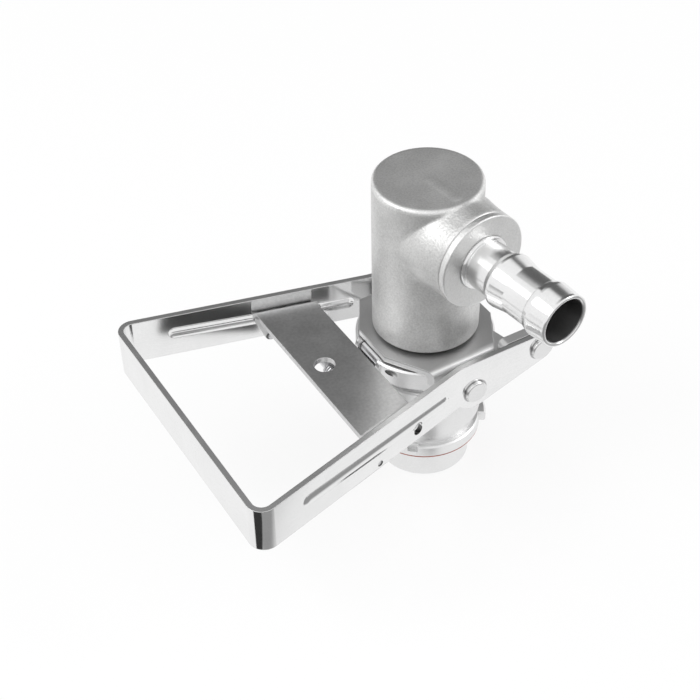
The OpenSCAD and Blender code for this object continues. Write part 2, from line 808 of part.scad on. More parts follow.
// Plan of the handle's outline, drawn in from the outer faces by an inset
module handle_plan(inset, rear) {
    at = handle_reach - corner_r;
    c = [-at, arm_out(at) - corner_r / cos(splay)];
    r = corner_r - inset;
    bend = [arm_bend_r * tan(splay / 2) - arm_bend_x, arm_y + arm_bend_r];
    for (side = [0, 1]) mirror([0, side]) {
        translate(c) circle(r = r);
        polygon(concat(
            [[inset - handle_reach, -1], [inset - handle_reach, c[1]], c + r * [sin(splay), cos(splay)]],
            arc(bend, arm_bend_r + inset, 270 - splay, 270, 6),
            [[rear, arm_y - inset], [rear, -1]]
        ));
    }
}

// The strap from the side
module strap_side_view() {
    translate([-handle_reach - 1, strap_z]) square([handle_reach + 1 + drive_x, strap_h]);
    belt(drive_at, arm_ear_r, fulcrum_at, end_r);
    polygon([[-arm_ear_r, strap_z], drive_at, fulcrum_at, [fulcrum_x, strap_top], [-arm_ear_r, strap_top]]);
}

// One pressed rib, shifted across the strap
module rib(shift) {
    r = (rib_w * rib_w / 4 + rib_proud * rib_proud) / (2 * rib_proud);
    len = (rib_far - rib_near) / cos(splay);
    fall = rib_far_z - rib_near_z;
    tilt = atan2(fall, len);
    run = norm([len, fall]);
    on_arm(rib_far) intersection() {
        translate([0, shift + rib_proud - r, strap_z + rib_far_z]) rotate([0, 90 + tilt, 0])
            rotate_extrude() polygon(concat(arc([0, 0], r, -90, 0, 12), arc([0, run], r, 0, 90, 12)));
        translate([-20, shift - 1, strap_z]) cube([len + 40, 4, strap_h]);
    }
}

// Slots in the arms in which the latch's guide pins move
module guide_slot() {
    w = guide_pin_d + 2 * side_gap;
    low = pressed(guide_pin, latch_pivot, press_angle);
    rod_y(guide_pin, w, -big, big);
    rod_y(low, w, -big, big);
    side_prism() polygon([
        guide_pin + [-w / 2, 0], guide_pin + [w / 2, 0], low + [w / 2, 0], low + [-w / 2, 0],
    ]);
}

// Headed pins between the arms and the yoke
module drive_pins() {
    inner = yoke_y - yoke_t + 0.1;
    color("silver") both_sides() pin_with_head(drive_at, inner, 0.3);
}

// A pin along Y whose head lies on the arm's outer face
module pin_with_head(at, inner, tip) {
    r = pin_d / 2;
    r_head = pin_head_d / 2;
    reach = arm_y - inner;
    e = 0.8;
    turned_y(at, inner, concat(
        [[0, 0], [r - tip, 0], [r, tip], [r, reach], [r_head, reach]],
        arc([r_head - e, reach + pin_head_t - e], e, 0, 90, 5),
        [[0, reach + pin_head_t]]
    ));
}

// Spacer rings between the arms and the yoke's flanges
module drive_spacers() {
    low = yoke_y + face_gap;
    color("dimgray") both_sides() difference() {
        rod_y(drive_at, pin_d + 2 * spacer_wall, low, arm_in);
        rod_y(drive_at, pin_d + 2 * fixed_gap, low - 1, arm_in + 1);
    }
}

function clip_y() = lug_y - lug_t - side_gap - clip_t();
function clip_t() = 0.9;
function clip_depth() = 0.9;

// Headed pins through the slots of the fulcrum lugs, grooved for their clips
module fulcrum_pins() {
    inner = clip_y() - 0.9;
    color("silver") both_sides() difference() {
        pin_with_head(fulcrum_at, inner, 0.3);
        difference() {
            rod_y(fulcrum_at, pin_d + 2, clip_y(), clip_y() + clip_t());
            rod_y(fulcrum_at, pin_d - 2 * clip_depth(), clip_y() - 1, clip_y() + 2);
        }
    }
}

// Open clips on the fulcrum pins
module fulcrum_clips() {
    r = pin_d / 2;
    color("silver") both_sides() difference() {
        rod_y(fulcrum_at, pin_d + 4, clip_y(), clip_y() + clip_t());
        rod_y(fulcrum_at, pin_d - 2 * clip_depth() + 2 * fixed_gap, clip_y() - 1, clip_y() + 2);
        translate([fulcrum_x, clip_y() - 1, fulcrum_z - r * 0.7]) cube([2 * r, clip_t() + 2, r * 1.4]);
    }
}

// Short pins, sunk in the arms, on which the latch plate tips
module latch_pivot_pins() {
    tip_in = 1.2;
    sunk = 0.4;
    out = arm_out(latch_pivot_x);
    inner = out - (ear_depth + latch_t) / cos(splay) - tip_in;
    color("silver") both_sides() intersection() {
        rod_y(latch_pivot, latch_pin_d, inner, out + 4);
        on_arm(latch_pivot_x) translate([-20, -30, 0]) cube([40, 30 - sunk, big]);
    }
}

// Rod between the arms that carries the latch spring
module latch_rod() {
    out = arm_out(latch_rod_x);
    color("silver") intersection() {
        rod_y(latch_rod_at, latch_rod_d, -out, out);
        between_arms(strap_t);
    }
}

// Space between two planes at a depth inside the arms' outer faces
module between_arms(depth) {
    front = latch_front + 20;
    rear = 0;
    inset = depth / cos(splay);
    translate([0, 0, strap_z - big / 2]) linear_extrude(big) polygon([
        [-front, arm_out(front) - inset], [-rear, arm_out(rear) - inset],
        [-rear, inset - arm_out(rear)], [-front, inset - arm_out(front)],
    ]);
}

// Latch plate folded from sheet, with ears beside the arms and a tongue behind
module latch_plate() {
    color("gray") difference() {
        union() {
            intersection() {
                latch_fold();
                side_prism() latch_side_view();
            }
            side_prism(-tongue_w / 2, tongue_w / 2) latch_tongue();
        }
        translate([-latch_hole_x, 0, latch_top - latch_t - 1]) cylinder(d = latch_hole_d, h = latch_t + 2);
        rod_y(latch_pivot, latch_pin_d + 2 * run_gap, -big, big);
        rod_y(guide_pin, guide_pin_d + 2 * fixed_gap, -big, big);
        latch_rod_slot();
    }
}

// Sheet folded down along both arms; the two halves meet past the middle
module latch_fold() {
    low = strap_z - 10;
    start = latch_front + 30;
    bend = [-ear_depth - latch_bend, latch_top - latch_bend];
    both_sides() intersection() {
        on_arm(start) rotate([90, 0, 90]) linear_extrude(start) polygon(concat(
            [[-big, latch_top]],
            arc(bend, latch_bend, 90, 0),
            [[-ear_depth, low], [-ear_depth - latch_t, low]],
            arc(bend, latch_bend - latch_t, 0, 90),
            [[-big, latch_top - latch_t]]
        ));
        translate([-big, -tongue_w / 2, low]) cube([2 * big, big, big]);
    }
}

// The latch plate from the side
module latch_side_view() {
    r = latch_lobe_r;
    low = latch_top - latch_bend - 1.5;
    belt(latch_pivot, r, guide_pin, guide_pin_d / 2 + 1.8);
    polygon([
        [-latch_front, latch_top], [-latch_front, low], latch_pivot - [r, 0], latch_pivot,
        guide_pin, [-latch_rear, guide_z + strap_z + 2], [-latch_rear, latch_top],
    ]);
}

// Tongue that drops from the rear edge towards the catch
module latch_tongue() {
    top = latch_top - latch_t;
    tip = -drum_d / 2 - 1.8;
    root = -latch_rear - 5;
    low = catch_at[1] - 1;
    polygon([
        [root, top], [root + 2, top], [-latch_rear - 0.4, top], [tip, low + 2.2], [tip, low],
        [tip - 1.6, low], [-latch_rear - 2, top - 2.4], [root, top - 2.4],
    ]);
    translate([root, top - 2.4]) square([3, 2.4 + latch_t / 2]);
}

// Slots in the ears that clear the rod while the latch tips
module latch_rod_slot() {
    w = latch_rod_d + 2 * side_gap + 0.4;
    for (at = [latch_rod_at, latch_rod_up]) rod_y(at, w, -big, big);
    side_prism() polygon([
        latch_rod_at + [-w / 2, 0], latch_rod_at + [w / 2, 0],
        latch_rod_up + [w / 2, 0], latch_rod_up + [-w / 2, 0],
    ]);
}

// Pins fixed in the latch plate's ears that slide in the arms' slots
module latch_guide_pins() {
    sunk = 0.8;
    out = arm_out(guide_x);
    inner = out - (ear_depth + latch_t) / cos(splay) - 0.6;
    color("dimgray") both_sides() intersection() {
        rod_y(guide_pin, guide_pin_d, inner, out + 4);
        on_arm(guide_x) translate([-20, -30, 0]) cube([40, 30 - sunk, big]);
    }
}

// Mean radius and centre of the spring's coils, which clear the rod at both
// ends of the latch plate's travel
function spring_r() = (latch_rod_d + spring_wire + norm(latch_rod_up - latch_rod_at)) / 2 + face_gap;
function spring_at() = (latch_rod_at + latch_rod_up) / 2;

// Path of the latch spring: a leg along the plate, the coils, then a free leg
function spring_path() =
    let (
        pitch = spring_wire + 0.15,
        steps = 16,
        half = spring_turns * pitch / 2,
        n = spring_turns * steps,
        r = spring_r(),
        c = spring_at(),
        bend = 1.35 * spring_wire,
        under = latch_top - latch_t - spring_wire / 2 - 0.1
    )
    concat(
        [[c[0] + r + spring_leg, -half, under], [c[0] + r + bend, -half, under]],
        [[c[0] + r + bend * 0.3, -half, under - bend * 0.3], [c[0] + r, -half, under - bend]],
        [for (i = [0:n]) let (a = -360 * i / steps)
            [c[0] + r * cos(a), -half + pitch * i / steps, c[1] + r * sin(a)]],
        [for (i = [1:3]) [c[0] + r, half, c[1] - spring_tail * i / 3]]
    );

function unit(v) = v / norm(v);

// Frame vectors across the spring's wire at point i of path p
function across(p, i) =
    let (t = unit(p[min(i + 1, len(p) - 1)] - p[max(i - 1, 0)]), b = unit(cross(t, [0, 1, 0])))
    [b, cross(t, b)];

// Torsion spring that holds the latch plate up
module latch_spring() {
    sides = 8;
    p = spring_path();
    n = len(p);
    points = [for (i = [0:n - 1]) let (f = across(p, i)) for (k = [0:sides - 1])
        p[i] + spring_wire / 2 * (cos(360 * k / sides) * f[0] + sin(360 * k / sides) * f[1])];
    rings = [for (i = [0:n - 2]) for (k = [0:sides - 1])
        [i * sides + k, i * sides + (k + 1) % sides, (i + 1) * sides + (k + 1) % sides, (i + 1) * sides + k]];
    caps = [[for (k = [sides - 1:-1:0]) k], [for (k = [0:sides - 1]) (n - 1) * sides + k]];
    color("silver") polyhedron(points, concat(rings, caps));
}

coupler_body();
face_seal();
guide_bush();
guide_seal();
catch_pin();
catch_sleeve();
yoke_plate();
swivel_bush();
head_casting();
tail_flange();
hose_tail();
tail_gasket();
thrust_washer();
retaining_nut();
probe_tube();
neck_ring();
piston_ring();
nose_seal();
handle();
drive_pins();
drive_spacers();
fulcrum_pins();
fulcrum_clips();
latch_pivot_pins();
latch_rod();
latch_plate();
latch_guide_pins();
latch_spring();
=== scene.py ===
# %% [markdown]
# # Coupler for diesel exhaust fluid
# This coupler locks onto the filler of a tank, and its long handle draws the
# head and the probe up or pushes them in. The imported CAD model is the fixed
# frame. This script gives it its look: cast, turned, folded and polished
# stainless steel, rubber seals and plastic bushes, under soft studio light.
# All lengths are in metres, in the CAD's frame: +Z is up along the probe, and
# the handle reaches out along -X.

import math

import bpy
from mathutils import Matrix, Vector


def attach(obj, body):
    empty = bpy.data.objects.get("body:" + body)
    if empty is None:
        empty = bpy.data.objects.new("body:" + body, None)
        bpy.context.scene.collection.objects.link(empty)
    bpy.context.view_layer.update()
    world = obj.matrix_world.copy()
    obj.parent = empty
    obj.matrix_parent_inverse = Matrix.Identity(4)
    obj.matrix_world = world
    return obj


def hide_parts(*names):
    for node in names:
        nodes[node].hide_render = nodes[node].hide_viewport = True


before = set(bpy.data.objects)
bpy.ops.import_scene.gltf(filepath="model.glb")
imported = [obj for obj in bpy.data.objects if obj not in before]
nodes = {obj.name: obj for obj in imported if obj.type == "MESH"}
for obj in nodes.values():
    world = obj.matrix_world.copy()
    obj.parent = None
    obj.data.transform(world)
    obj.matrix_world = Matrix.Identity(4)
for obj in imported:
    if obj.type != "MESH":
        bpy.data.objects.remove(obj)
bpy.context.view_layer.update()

# %% [markdown]
# ## Camera
# The camera stands where the photograph was taken from. It could be placed by
# eye, but small errors of the view look like errors of the shapes. So its
# place, turn and focal length were fitted to the straight edges and circles of
# the part, and the lens needs no shift.

# %% Place the camera
CAMERA_AT = Vector((-0.2926, -0.4386, 0.5275))
LOOKS_AT = Vector((-0.0398, -0.0005, 0.0792))
ROLL = math.radians(-1.3)
SENSOR_WIDTH = 36
FOCAL_SHARE = 1537 / 700  # the focal length over the picture's width, in pixels
NEAREST, FARTHEST = 0.01, 50
UP = (0, 0, 1)


def make_camera():
    """A camera from its place, the point that it looks at and its roll."""
    data = bpy.data.cameras.new("camera")
    data.sensor_width = SENSOR_WIDTH
    data.lens = SENSOR_WIDTH * FOCAL_SHARE
    data.clip_start, data.clip_end = NEAREST, FARTHEST
    cam = bpy.data.objects.new("camera", data)
    bpy.context.scene.collection.objects.link(cam)
    ahead = (LOOKS_AT - CAMERA_AT).normalized()
    right = ahead.cross(Vector(UP)).normalized()
    up = right.cross(ahead)
    turned_right = math.cos(ROLL) * right + math.sin(ROLL) * up
    turned_up = turned_right.cross(ahead)
    axes = Matrix((turned_right, turned_up, -ahead)).transposed()
    cam.matrix_world = Matrix.Translation(CAMERA_AT) @ axes.to_4x4()
    bpy.context.scene.camera = cam
    return cam


camera = make_camera()
print("camera lens in mm:", round(camera.data.lens, 2))

# %% [markdown]
# ## Nodes and links
# A material is a tree of nodes. Each node could be made, set and joined line by
# line, but the finish would be lost among those lines. These helpers add a node
# with its values set and join two sockets, so that the cells below stay short.

# %% Add and join nodes


def add(tree, kind, **values):
    """Adds a node and sets its properties and its input sockets by name."""
    node = tree.nodes.new(kind)
    for name, value in values.items():
        if hasattr(node, name) and name not in node.inputs:
            setattr(node, name, value)
        else:
            node.inputs[name].default_value = value
    return node


def link(tree, source, target):
    """Joins an output socket to an input socket."""
    tree.links.new(source, target)


def plug(tree, value, socket):
    """Links a socket, or sets a plain number or vector."""
    if isinstance(value, bpy.types.NodeSocket):
        link(tree, value, socket)
    else:
        socket.default_value = value


print("helpers for nodes:", add.__name__, link.__name__, plug.__name__)

# %% [markdown]
# ## Sums, soft steps and groups
# Masks are made of sums, and of steps from one value to another. A hard step
# leaves a jagged edge between two finishes, so the step here is a smooth one.
# An effect that several materials use becomes a group with named sockets, so
# that it is built once and set to other values wherever it is placed.

# %% Do sums, make steps, start a group


def math_node(tree, operation, *values):
    """A math node. Each value is a socket or a number."""
    node = add(tree, "ShaderNodeMath", operation=operation)
    for socket, value in zip(node.inputs, values):
        plug(tree, value, socket)
    return node.outputs[0]


def vector_node(tree, operation, *values):
    """A vector math node. Each value is a socket or a vector."""
    node = add(tree, "ShaderNodeVectorMath", operation=operation)
    for socket, value in zip(node.inputs, values):
        plug(tree, value, socket)
    gives_number = operation in ("DOT_PRODUCT", "LENGTH")
    return node.outputs["Value" if gives_number else "Vector"]


def ramp_node(tree, value, low, high, at_low=0.0, at_high=1.0):
    """A soft step from at_low to at_high while the value goes from low to high."""
    node = add(tree, "ShaderNodeMapRange", interpolation_type="SMOOTHSTEP")
    node.inputs["From Min"].default_value = low
    node.inputs["From Max"].default_value = high
    node.inputs["To Min"].default_value = at_low
    node.inputs["To Max"].default_value = at_high
    plug(tree, value, node.inputs["Value"])
    return node.outputs["Result"]


def new_group(name, inputs, outputs):
    """A shader node group with named sockets, and its input and output nodes."""
    group = bpy.data.node_groups.new(name, "ShaderNodeTree")
    for socket, kind, value in inputs:
        made = group.interface.new_socket(
            socket, in_out="INPUT", socket_type="NodeSocket" + kind)
        if value is not None:
            made.default_value = value
    for socket, kind in outputs:
        group.interface.new_socket(
            socket, in_out="OUTPUT", socket_type="NodeSocket" + kind)
    return group, group.nodes.new("NodeGroupInput"), group.nodes.new("NodeGroupOutput")


print("helpers for sums:", math_node.__name__, vector_node.__name__, ramp_node.__name__,
      new_group.__name__)

# %% [markdown]
# ## Grain
# The head is a casting that was blasted, so its skin is a field of tiny pits
# over slow unevenness. Pits could be modelled, but there are tens of thousands
# of them, so here they are a height that only tips the normals. A fine noise
# gives the roughness, Voronoi cells give the pits, and a wide noise gives the
# unevenness and the mottled tone. Rubber and plastic use it with finer grains.

# %% Make the grain group
PITS_PER_GRAIN = 0.7
PIT_SHARE = 0.45
WAVE_SHARE = 1.6
SLOW_MOTTLE, FINE_MOTTLE = 0.45, 0.55


def make_grain():
    """Height and mottle of a grained skin."""
    group, given, out = new_group(
        "Grain",
        [("Position", "Vector", None), ("Grains per metre", "Float", 1500.0),
         ("Waves per metre", "Float", 60.0)],
        [("Height", "Float"), ("Mottle", "Float")],
    )
    fine = add(group, "ShaderNodeTexNoise", Detail=3.0, Roughness=0.6)
    slow = add(group, "ShaderNodeTexNoise", Detail=3.0, Roughness=0.5)
    pits = add(group, "ShaderNodeTexVoronoi")
    for node in (fine, slow, pits):
        link(group, given.outputs["Position"], node.inputs["Vector"])
    grains = given.outputs["Grains per metre"]
    link(group, grains, fine.inputs["Scale"])
    link(group, math_node(group, "MULTIPLY", grains, PITS_PER_GRAIN), pits.inputs["Scale"])
    link(group, given.outputs["Waves per metre"], slow.inputs["Scale"])

    pit_height = math_node(group, "MULTIPLY", pits.outputs["Distance"], PIT_SHARE)
    rough_height = math_node(group, "ADD", fine.outputs["Fac"], pit_height)
    slow_height = math_node(group, "MULTIPLY", slow.outputs["Fac"], WAVE_SHARE)
    link(group, math_node(group, "ADD", rough_height, slow_height), out.inputs["Height"])
    slow_mottle = math_node(group, "MULTIPLY", slow.outputs["Fac"], SLOW_MOTTLE)
    fine_mottle = math_node(group, "MULTIPLY", fine.outputs["Fac"], FINE_MOTTLE)
    link(group, math_node(group, "ADD", slow_mottle, fine_mottle), out.inputs["Mottle"])
    return group


GRAIN = make_grain()
print("effect group:", GRAIN.name)

# %% [markdown]
# ## Lay
# Turning, rolling and brushing leave fine parallel marks. A picture of brushed
# metal could be wrapped round a piece, but it would need its own mapping on
# each one. A noise that depends on one coordinate only does it at any size:
# with the distance along an axis it makes straight marks or turned rings, and
# with the distance from an axis it makes circles on a face.

# %% Make the lay group
PATCHES_PER_METRE = 45.0


def make_lay():
    """Height of the marks, and a share that comes and goes in patches."""
    group, given, out = new_group(
        "Lay",
        [("Along", "Float", 0.0), ("Lines per metre", "Float", 4000.0),
         ("Position", "Vector", None)],
        [("Height", "Float"), ("Share", "Float")],
    )
    step = math_node(
        group, "MULTIPLY", given.outputs["Along"], given.outputs["Lines per metre"])
    joined = add(group, "ShaderNodeCombineXYZ")
    link(group, step, joined.inputs["X"])
    lines = add(group, "ShaderNodeTexNoise", Scale=1.0, Detail=4.0, Roughness=0.7)
    link(group, joined.outputs[0], lines.inputs["Vector"])
    patch = add(group, "ShaderNodeTexNoise", Scale=PATCHES_PER_METRE, Detail=2.0)
    link(group, given.outputs["Position"], patch.inputs["Vector"])
    link(group, lines.outputs["Fac"], out.inputs["Height"])
    share = math_node(group, "MULTIPLY", lines.outputs["Fac"], patch.outputs["Fac"])
    link(group, share, out.inputs["Share"])
    return group


LAY = make_lay()
print("effect group:", LAY.name)

# %% [markdown]
# ## Handling
# Steel that has been held carries faint smudges. They hardly change its colour,
# but they change how sharp the reflections are. Smudges could be drawn one by
# one; a distorted noise, cut off so that most of the surface stays clean, gives
# enough of them and feeds the roughness alone.

# %% Make the handling group
SMUDGE_FROM, SMUDGE_FULL = 0.45, 0.75


def make_handling():
    """Share of smudge over the surface."""
    group, given, out = new_group(
        "Handling",
        [("Position", "Vector", None), ("Smudges per metre", "Float", 25.0)],
        [("Share", "Float")],
    )
    smudge = add(group, "ShaderNodeTexNoise", Detail=5.0, Roughness=0.6, Distortion=0.6)
    link(group, given.outputs["Position"], smudge.inputs["Vector"])
    link(group, given.outputs["Smudges per metre"], smudge.inputs["Scale"])
    share = ramp_node(group, smudge.outputs["Fac"], SMUDGE_FROM, SMUDGE_FULL)
    link(group, share, out.inputs["Share"])
    return group


HANDLING = make_handling()
print("effect group:", HANDLING.name)

# %% [markdown]
# ## Zones
# One piece can carry more than one finish: a casting has a turned face, and a
# polished strap has dull edges. Chosen faces could get a second material, but
# that choice is lost when the mesh is made again. Here a zone is found from a
# coordinate on the piece, the distance along an axis or from one, so it also
# stays in place when the piece moves. Some zones paint light or shade instead:
# a painted highlight on the head's rim, and painted shade in the tail's bore,
# on the yoke's top and in the gaps round pins.

# %% Find a zone on a piece


def along(axis):
    """A coordinate that grows along an axis."""
    return {"kind": "along", "axis": axis}


def around(axis, centre=(0, 0, 0)):
    """A coordinate that grows away from an axis through a centre."""
    return {"kind": "around", "axis": axis, "centre": centre}


def zone(place, between, tone=1.0, rough=0.0, **more):
    """Between two values of a coordinate the finish, or a painted light or shade, changes to
    this one.
    """
    return {"place": place, "between": between, "tone": tone, "rough": rough, **more}


def coordinate(tree, position, place):
    """The socket that gives a coordinate."""
    if place["kind"] == "along":
        return vector_node(tree, "DOT_PRODUCT", position, place["axis"])
    offset = vector_node(tree, "SUBTRACT", position, place["centre"])
    across = vector_node(tree, "CROSS_PRODUCT", offset, place["axis"])
    return vector_node(tree, "LENGTH", across)


print("coordinates:", along(UP)["kind"], around(UP)["kind"])

# %% [markdown]
# ## What every material shares
# Each finish starts from the Principled shader, tints its colour and tips its
# normals. The place on the piece comes from the object's own coordinates: these
# move with the piece, and they need no UV map, which the CAD meshes don't have.

# %% Start a material, tint it, give it relief
LINE_SPAN = (0.2, 0.8)    # where the noise of the marks mostly lies
MOTTLE_SPAN = (0.3, 0.7)  # where the mottle mostly lies


def new_material(name, metallic):
    """A material with its tree, its shader and the place on the piece."""
    mat = bpy.data.materials.new(name)
    mat.use_nodes = True
    tree = mat.node_tree
    shader = tree.nodes["Principled BSDF"]
    shader.inputs["Metallic"].default_value = metallic
    return mat, tree, shader, add(tree, "ShaderNodeTexCoord").outputs["Object"]


def place_group(tree, group, position, **values):
    """Places an effect group; Lines_per_metre=1 sets the input Lines per metre."""
    node = add(tree, "ShaderNodeGroup", node_tree=group)
    link(tree, position, node.inputs["Position"])
    for name, value in values.items():
        node.inputs[name.replace("_", " ")].default_value = value
    return node


def tinted(tree, tone, factor):
    """The tone times a factor that changes over the surface."""
    colour = add(tree, "ShaderNodeMix", data_type="RGBA", blend_type="MULTIPLY")
    colour.inputs["Factor"].default_value = 1.0
    colour.inputs["A"].default_value = (*tone, 1)
    link(tree, factor, colour.inputs["B"])
    return colour.outputs["Result"]


def bumped(tree, height, depth, normal=None):
    """A normal tipped by a height of the given depth."""
    bump = add(tree, "ShaderNodeBump")
    plug(tree, depth, bump.inputs["Distance"])
    link(tree, height, bump.inputs["Height"])
    if normal is not None:
        link(tree, normal, bump.inputs["Normal"])
    return bump.outputs["Normal"]


print("shared parts:", new_material.__name__, place_group.__name__, tinted.__name__,
      bumped.__name__)

# %% [markdown]
# ## Edges and smeared reflections
# A real edge is never sharp: it was blasted, tumbled or deburred, and its
# rounding catches the light. More geometry could round it, but the CAD meshes
# stay as they are, so a Bevel node rounds the normals. Its radius shrinks at a
# seam, which would blur otherwise. Fine turning marks draw reflections out, and
# the shader's Anisotropic value does that along a tangent. The tangent is an
# axis of the piece, turned into the world, so it follows the piece's motion.

# %% Round the edges, smear the reflections
BEVEL_SAMPLES = 8
SMEAR_SHARE = 0.7


def rounded(tree, position, edge, sharp_beyond):
    """A normal with rounded edges, by a smaller radius beyond a place."""
    radius = edge
    if sharp_beyond:
        where = coordinate(tree, position, sharp_beyond["place"])
        radius = ramp_node(tree, where, *sharp_beyond["between"], edge, sharp_beyond["edge"])
    bevel = add(tree, "ShaderNodeBevel", samples=BEVEL_SAMPLES)
    plug(tree, radius, bevel.inputs["Radius"])
    return bevel.outputs["Normal"]


def smear_along(tree, shader, axis):
    """Draws the reflections out along an axis of the piece."""
    shader.inputs["Anisotropic"].default_value = SMEAR_SHARE
    turned = add(tree, "ShaderNodeVectorTransform", vector_type="VECTOR",
                 convert_from="OBJECT", convert_to="WORLD")
    turned.inputs[0].default_value = axis
    link(tree, turned.outputs[0], shader.inputs["Tangent"])


print("bevel samples:", BEVEL_SAMPLES, "smear:", SMEAR_SHARE)

# %% [markdown]
# ## Steel
# Most of this part is stainless steel, and its pieces differ by how they were
# worked, and in some zones by painted light and shade. A material could be
# built by hand for each, but one builder keeps them of one family. A finish is
# a tone, a roughness, the direction and depth of its marks, the depth of its
# grain, and zones that were worked another way or carry painted light or shade.

# %% Build a steel finish


def make_steel(name, tone, rough, marks=along(UP), lines=4000.0, line_depth=0.00001,
               line_shade=0.05, grain=0.0, grains=1500.0, waves=60.0, mottle=0.04,
               edge=0.0003, spread=0.08, zones=(), sharp_beyond=None, smear=None):
    """Stainless steel with rounded edges, marks, grain, smudges and zones."""
    mat, tree, shader, position = new_material(name, metallic=1.0)
    if smear:
        smear_along(tree, shader, smear)
    lay = place_group(tree, LAY, position, Lines_per_metre=lines)
    link(tree, coordinate(tree, position, marks), lay.inputs["Along"])
    smudges = place_group(tree, HANDLING, position)
    skin = place_group(tree, GRAIN, position, Grains_per_metre=grains, Waves_per_metre=waves)

    shade = ramp_node(tree, lay.outputs["Height"], *LINE_SPAN, 1 - line_shade, 1 + line_shade)
    blotch = ramp_node(tree, skin.outputs["Mottle"], *MOTTLE_SPAN, 1 - mottle, 1 + mottle)
    factor = math_node(tree, "MULTIPLY", shade, blotch)
    rough_here = math_node(tree, "MULTIPLY_ADD", smudges.outputs["Share"], spread, rough)
    rough_here = math_node(tree, "MULTIPLY_ADD", lay.outputs["Share"], spread, rough_here)
    grain_here = grain
    for part in zones:
        where = coordinate(tree, position, part["place"])
        between = part["between"]
        tone_here = ramp_node(tree, where, *between, 1.0, part["tone"])
        factor = math_node(tree, "MULTIPLY", factor, tone_here)
        if part["rough"]:
            more = ramp_node(tree, where, *between, 0.0, part["rough"])
            rough_here = math_node(tree, "ADD", rough_here, more)
        if "grain" in part:
            grain_here = ramp_node(tree, where, *between, grain, part["grain"])
    link(tree, tinted(tree, tone, factor), shader.inputs["Base Color"])
    link(tree, rough_here, shader.inputs["Roughness"])

    normal = rounded(tree, position, edge, sharp_beyond)
    if line_depth:
        normal = bumped(tree, lay.outputs["Height"], line_depth, normal)
    if grain:
        normal = bumped(tree, skin.outputs["Height"], grain_here, normal)
    link(tree, normal, shader.inputs["Normal"])
    return mat


print("builder of the steels:", make_steel.__name__)

# %% [markdown]
# ## Rubber and plastic
# The seals are rubber, and the bushes and spacers are plastic: dull, mostly dark
# and not metal. A single dark colour would look like a hole in the part, so the
# grain group gives a fine skin and a faint bloom, as on rubber that has aged.

# %% Build the rubbers and the plastic
BLOOM = (0.8, 1.25)   # the tone's factor where the bloom is thin and thick
SKIN_SPREAD = 0.07    # how far the roughness goes to each side


def make_soft(name, tone, rough, grains=3000.0, depth=0.00001):
    """Rubber or plastic with a fine skin and a faint bloom."""
    mat, tree, shader, position = new_material(name, metallic=0.0)
    skin = place_group(tree, GRAIN, position, Grains_per_metre=grains)
    bloom = ramp_node(tree, skin.outputs["Mottle"], *MOTTLE_SPAN, *BLOOM)
    rough_here = ramp_node(tree, skin.outputs["Mottle"], *MOTTLE_SPAN,
                           rough - SKIN_SPREAD, rough + SKIN_SPREAD)
    link(tree, tinted(tree, tone, bloom), shader.inputs["Base Color"])
    link(tree, rough_here, shader.inputs["Roughness"])
    link(tree, bumped(tree, skin.outputs["Height"], depth), shader.inputs["Normal"])
    return mat


RED_RUBBER = make_soft("red-brown rubber", (0.33, 0.07, 0.035), 0.6)
BLACK_RUBBER = make_soft("black rubber", (0.018, 0.018, 0.018), 0.5)
DARK_PLASTIC = make_soft("dark plastic", (0.03, 0.03, 0.03), 0.42, grains=2200.0)
print("soft finishes:", RED_RUBBER.name, BLACK_RUBBER.name, DARK_PLASTIC.name)

# %% [markdown]
# ## Head
# The head and the tail's flange are blasted castings: grey, matt and pitted. The
# head's top was then faced on a lathe, which leaves a smoother, darker disc. Its
# rim is painted lighter: a painted highlight for the light that the rounded
# edge catches. The real head is one casting, so the disc and the painted rim
# are zones by height, not pieces of their own.

# %% Finish the head and the tail's flange
HEAD_TOP = 0.1558
OUTLET = (0, 0, 0.1336)
HEAD_TURN = math.radians(6.7)
TAIL_AXIS = (math.sin(HEAD_TURN), -math.cos(HEAD_TURN), 0)

# Painted highlight: the rim's tone is raised where its rounded edge catches the light.
painted_rim_highlight = zone(along(UP), (HEAD_TOP - 0.0030, HEAD_TOP - 0.0018), tone=1.2)
faced_top = zone(along(UP), (HEAD_TOP - 0.0003, HEAD_TOP - 0.0001), tone=0.94, grain=0.00002)
at_seam = zone(along(TAIL_AXIS), (0.0315, 0.0330), edge=0.0001)

HEAD_STEEL = make_steel(
    "blasted head steel", (0.64, 0.64, 0.635), 0.45, marks=around(UP), lines=2500.0,
    line_depth=0.0, line_shade=0.02, grain=0.00014, grains=1200.0, waves=70.0, mottle=0.15,
    edge=0.0022, spread=0.03, zones=(painted_rim_highlight, faced_top), sharp_beyond=at_seam)
FLANGE_STEEL = make_steel(
    "blasted flange steel", (0.76, 0.76, 0.755), 0.38, line_depth=0.0, line_shade=0.0,
    grain=0.00012, grains=1200.0, mottle=0.08, edge=0.0009, spread=0.06)
print("head finishes:", HEAD_STEEL.name, FLANGE_STEEL.name)

# %% [markdown]
# ## Hose tail
# The hose tail is turned bright outside, and its bore is duller. A plain mirror
# finish would show every line of the room, but the rings of the turning tool
# draw it out into long bands, so this steel is smeared along the tail's axis.
# The bore is a zone by the distance from that axis; its roughness is the duller
# finish, and its lower tone is painted shade for the shade inside the bore.

# %% Finish the hose tail
# Inside the bore the tone is lowered as painted shade; the added roughness is the duller
# finish.
dull_bore_painted_shade = zone(around(TAIL_AXIS, OUTLET), (0.0104, 0.0100), tone=0.42, rough=0.2)
TAIL_STEEL = make_steel(
    "turned tail steel", (0.84, 0.84, 0.84), 0.13, marks=along(TAIL_AXIS), lines=9000.0,
    line_depth=0.000003, line_shade=0.03, edge=0.0006, zones=(dull_bore_painted_shade,), smear=TAIL_AXIS)
print("tail finish:", TAIL_STEEL.name)

